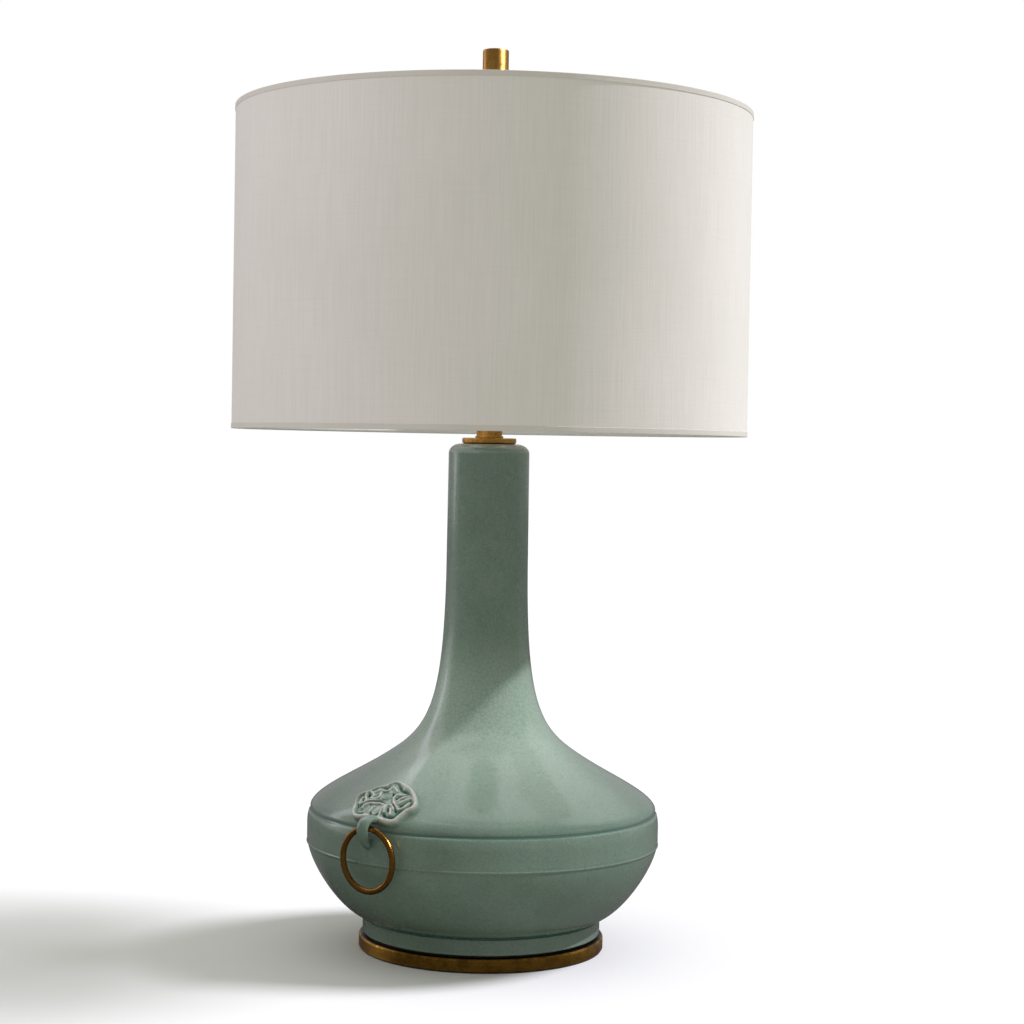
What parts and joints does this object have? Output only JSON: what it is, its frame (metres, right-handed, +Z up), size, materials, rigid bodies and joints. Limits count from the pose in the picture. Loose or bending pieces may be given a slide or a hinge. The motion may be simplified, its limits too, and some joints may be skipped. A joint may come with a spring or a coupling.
{
  "type": "table lamp",
  "caption": "Table lamp: celadon bottle-shaped ceramic jar with applied clouds and hanging brass rings, round brass foot, harp, socket, linen drum shade and brass finial.",
  "frame": {"origin": "bottom centre of the felt under the base, on the lamp's axis", "axes": "+Z up along the stem, -Y to the front, with the front cloud and ring to the left of the front, +X to the viewer's right"},
  "size_m": [0.4071, 0.4072, 0.7112],
  "materials": {
    "felt": "short dense wool felt",
    "aged_brass": "brushed antique brass, lacquered",
    "harp_brass": "plated steel wire, satin",
    "socket_brass": "polished pressed brass",
    "black_plastic": "moulded black plastic",
    "zinc_steel": "zinc plated steel",
    "black_rubber": "matt black rubber",
    "celadon_glaze": "glossy celadon glaze with fine crackle",
    "fibre_paper": "vulcanised fibre",
    "contact_aluminium": "thin pressed aluminium",
    "black_glass": "black glass insulator",
    "frosted_glass": "frosted white envelope",
    "white_enamel": "white powder coat",
    "styrene": "translucent white sheet",
    "linen": "off-white linen, slubbed weave"
  },
  "bodies": {
    "root": {"felt_pad": "felt", "base_pan": "aged_brass", "cord_bushing": "black_plastic", "base_washer": "zinc_steel", "base_lock_washer": "zinc_steel", "base_nut": "zinc_steel", "stem_pipe": "zinc_steel", "seat_gasket": "black_rubber", "jar_body": "celadon_glaze", "cloud_front": "celadon_glaze", "cloud_back": "celadon_glaze", "ring_loop_front": "celadon_glaze", "ring_loop_back": "celadon_glaze", "cap_gasket": "black_rubber", "vase_cap": "aged_brass", "neck_collar": "aged_brass", "harp_saddle": "harp_brass", "socket_cap": "socket_brass", "socket_set_screw": "zinc_steel", "socket_shell": "socket_brass", "socket_insulator": "fibre_paper", "socket_core": "black_plastic", "terminal_screws": "socket_brass", "screw_shell": "contact_aluminium", "center_contact": "socket_brass"},
    "ring_front": {"ring_handle_front": "aged_brass"},
    "ring_back": {"ring_handle_back": "aged_brass"},
    "switch": {"switch_shaft": "socket_brass", "switch_knob": "black_plastic"},
    "bulb": {"bulb_tip": "contact_aluminium", "bulb_insulator": "black_glass", "bulb_cap": "contact_aluminium", "bulb_glass": "frosted_glass"},
    "harp": {"harp_bow": "harp_brass", "harp_stud": "harp_brass"},
    "ferrule_left": {"harp_ferrule_left": "harp_brass"},
    "ferrule_right": {"harp_ferrule_right": "harp_brass"},
    "shade": {"shade_washer": "white_enamel", "spider_arm_1": "white_enamel", "spider_arm_2": "white_enamel", "spider_arm_3": "white_enamel", "top_ring": "white_enamel", "bottom_ring": "white_enamel", "shade_liner": "styrene", "shade_fabric": "linen", "top_hem": "linen", "bottom_hem": "linen", "shade_seam": "linen"},
    "finial": {"finial": "aged_brass"}
  },
  "joints": [
    {"name": "ring_swing_front", "type": "hinge", "parent": "root", "child": "ring_front", "pos_m": [-0.08523, -0.11731, 0.11265], "axis": [-0.809, 0.5878, 0], "range_deg": [-7, 150]},
    {"name": "ring_swing_back", "type": "hinge", "parent": "root", "child": "ring_back", "pos_m": [0.08523, 0.11731, 0.11265], "axis": [0.809, -0.5878, 0], "range_deg": [-7, 150]},
    {"name": "switch_turn", "type": "hinge", "parent": "root", "child": "switch", "pos_m": [0, -0.02, 0.4432], "axis": [0, -1, 0], "continuous": true},
    {"name": "bulb_unscrew", "type": "slide", "parent": "root", "child": "bulb", "axis": [0, 0, 1], "range_m": [0, 0.05]},
    {"name": "harp_lift", "type": "slide", "parent": "root", "child": "harp", "axis": [0, 0, 1], "range_m": [0, 0.17]},
    {"name": "ferrule_slide_left", "type": "slide", "parent": "harp", "child": "ferrule_left", "axis": [0, 0, 1], "range_m": [0, 0.014]},
    {"name": "ferrule_slide_right", "type": "slide", "parent": "harp", "child": "ferrule_right", "axis": [0, 0, 1], "range_m": [0, 0.014]},
    {"name": "shade_lift", "type": "slide", "parent": "harp", "child": "shade", "axis": [0, 0, 1], "range_m": [0, 0.27]},
    {"name": "finial_unscrew", "type": "slide", "parent": "shade", "child": "finial", "axis": [0, 0, 1], "range_m": [0, 0.015]}
  ]
}
